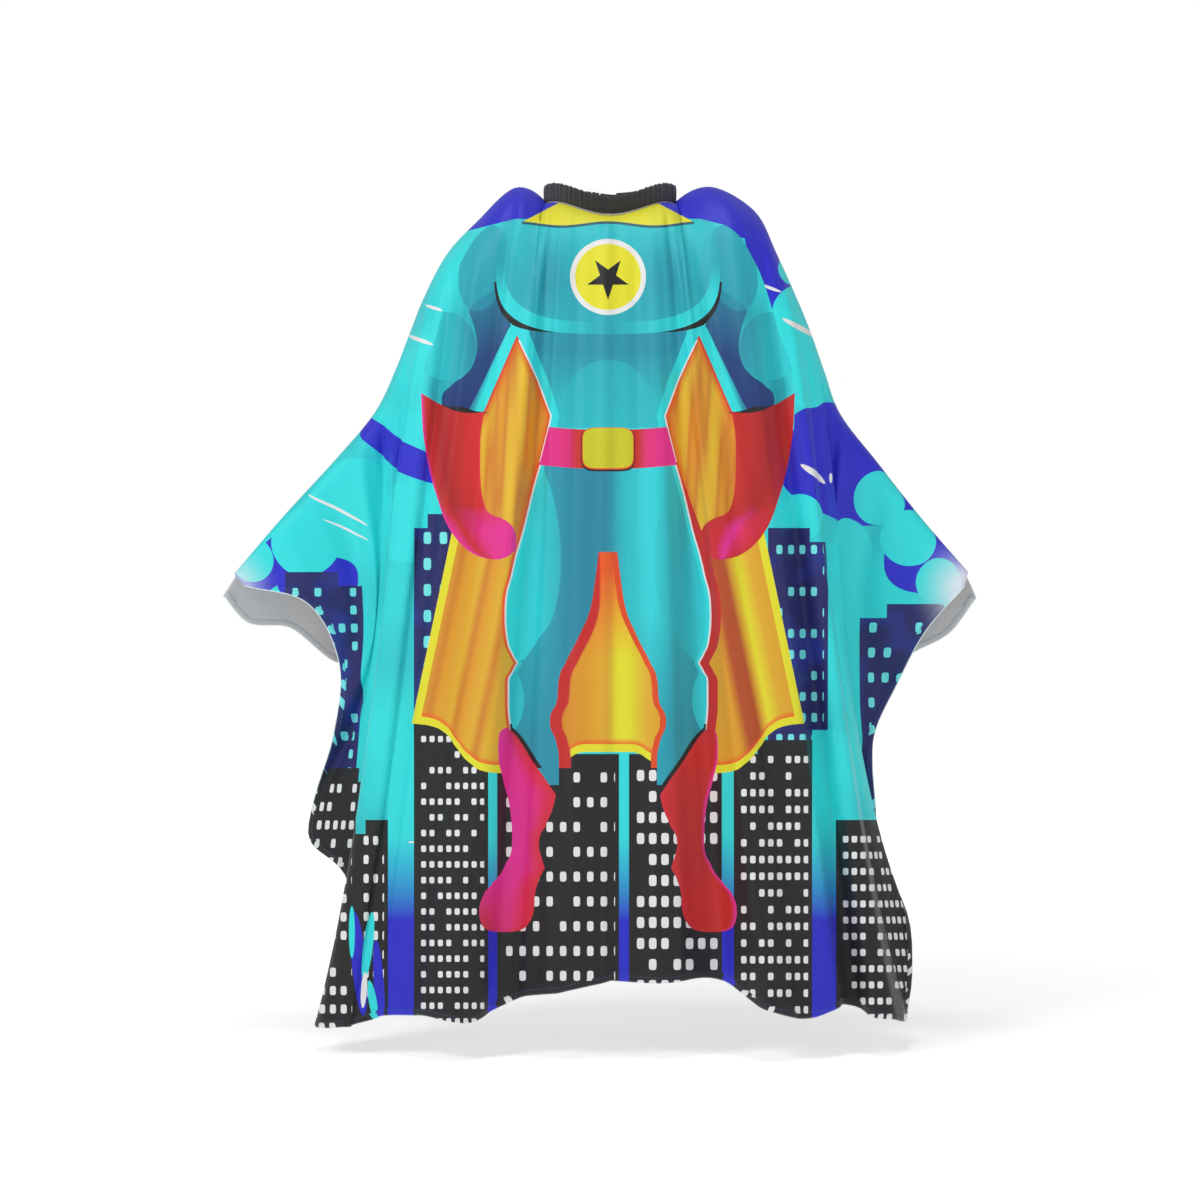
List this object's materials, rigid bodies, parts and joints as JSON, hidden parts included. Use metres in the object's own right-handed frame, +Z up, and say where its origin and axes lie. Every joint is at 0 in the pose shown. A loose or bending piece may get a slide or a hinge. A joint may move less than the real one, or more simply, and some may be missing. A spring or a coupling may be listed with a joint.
{
  "type": "hairdressing cape",
  "caption": "Child's hairdressing cape with a printed hero costume, elastic neck band and snap tab, hanging as on a child with both arms held half out.",
  "frame": {"origin": "centre of the neck opening, 7 mm above the mean height of the neckline", "axes": "+Z up along the wearer's neck, the wearer faces -Y, the cape's left half in a front view is at -X"},
  "size_m": [0.7505, 0.3535, 0.8255],
  "materials": {
    "printed_cloth": "smooth satin-faced polyester with an all-over print, plain light grey inside",
    "hem_cloth": "turned and stitched edge of the same printed cloth",
    "black_knit": "matt black knit, gathered by the elastic inside it",
    "binding_tape": "white woven tape",
    "snap_plastic": "glossy black plastic",
    "label_satin": "plain white satin ribbon"
  },
  "bodies": {
    "cape": {"front_panel": "printed_cloth", "back_left_panel": "printed_cloth", "back_right_panel": "printed_cloth", "back_left_placket": "hem_cloth", "back_right_placket": "hem_cloth", "front_hem": "hem_cloth", "left_side_hem": "hem_cloth", "right_side_hem": "hem_cloth", "back_left_hem": "hem_cloth", "back_right_hem": "hem_cloth", "care_label": "label_satin", "neck_band_cover": "black_knit", "neck_band_elastic": "binding_tape", "neck_band_lining": "black_knit", "neckline_binding": "binding_tape", "socket_1": "snap_plastic", "socket_2": "snap_plastic", "socket_3": "snap_plastic", "socket_4": "snap_plastic", "socket_cap_1": "snap_plastic", "socket_cap_2": "snap_plastic", "socket_cap_3": "snap_plastic", "socket_cap_4": "snap_plastic"},
    "band_tab": {"tab_cover": "black_knit", "tab_lining": "black_knit", "stud_1": "snap_plastic", "stud_2": "snap_plastic", "stud_cap_1": "snap_plastic", "stud_cap_2": "snap_plastic"}
  },
  "joints": [
    {"name": "tab_open", "type": "hinge", "parent": "cape", "child": "band_tab", "pos_m": [-0.0097, 0.0621, 0], "axis": [0, 0, 1], "range_deg": [0, 110]}
  ]
}
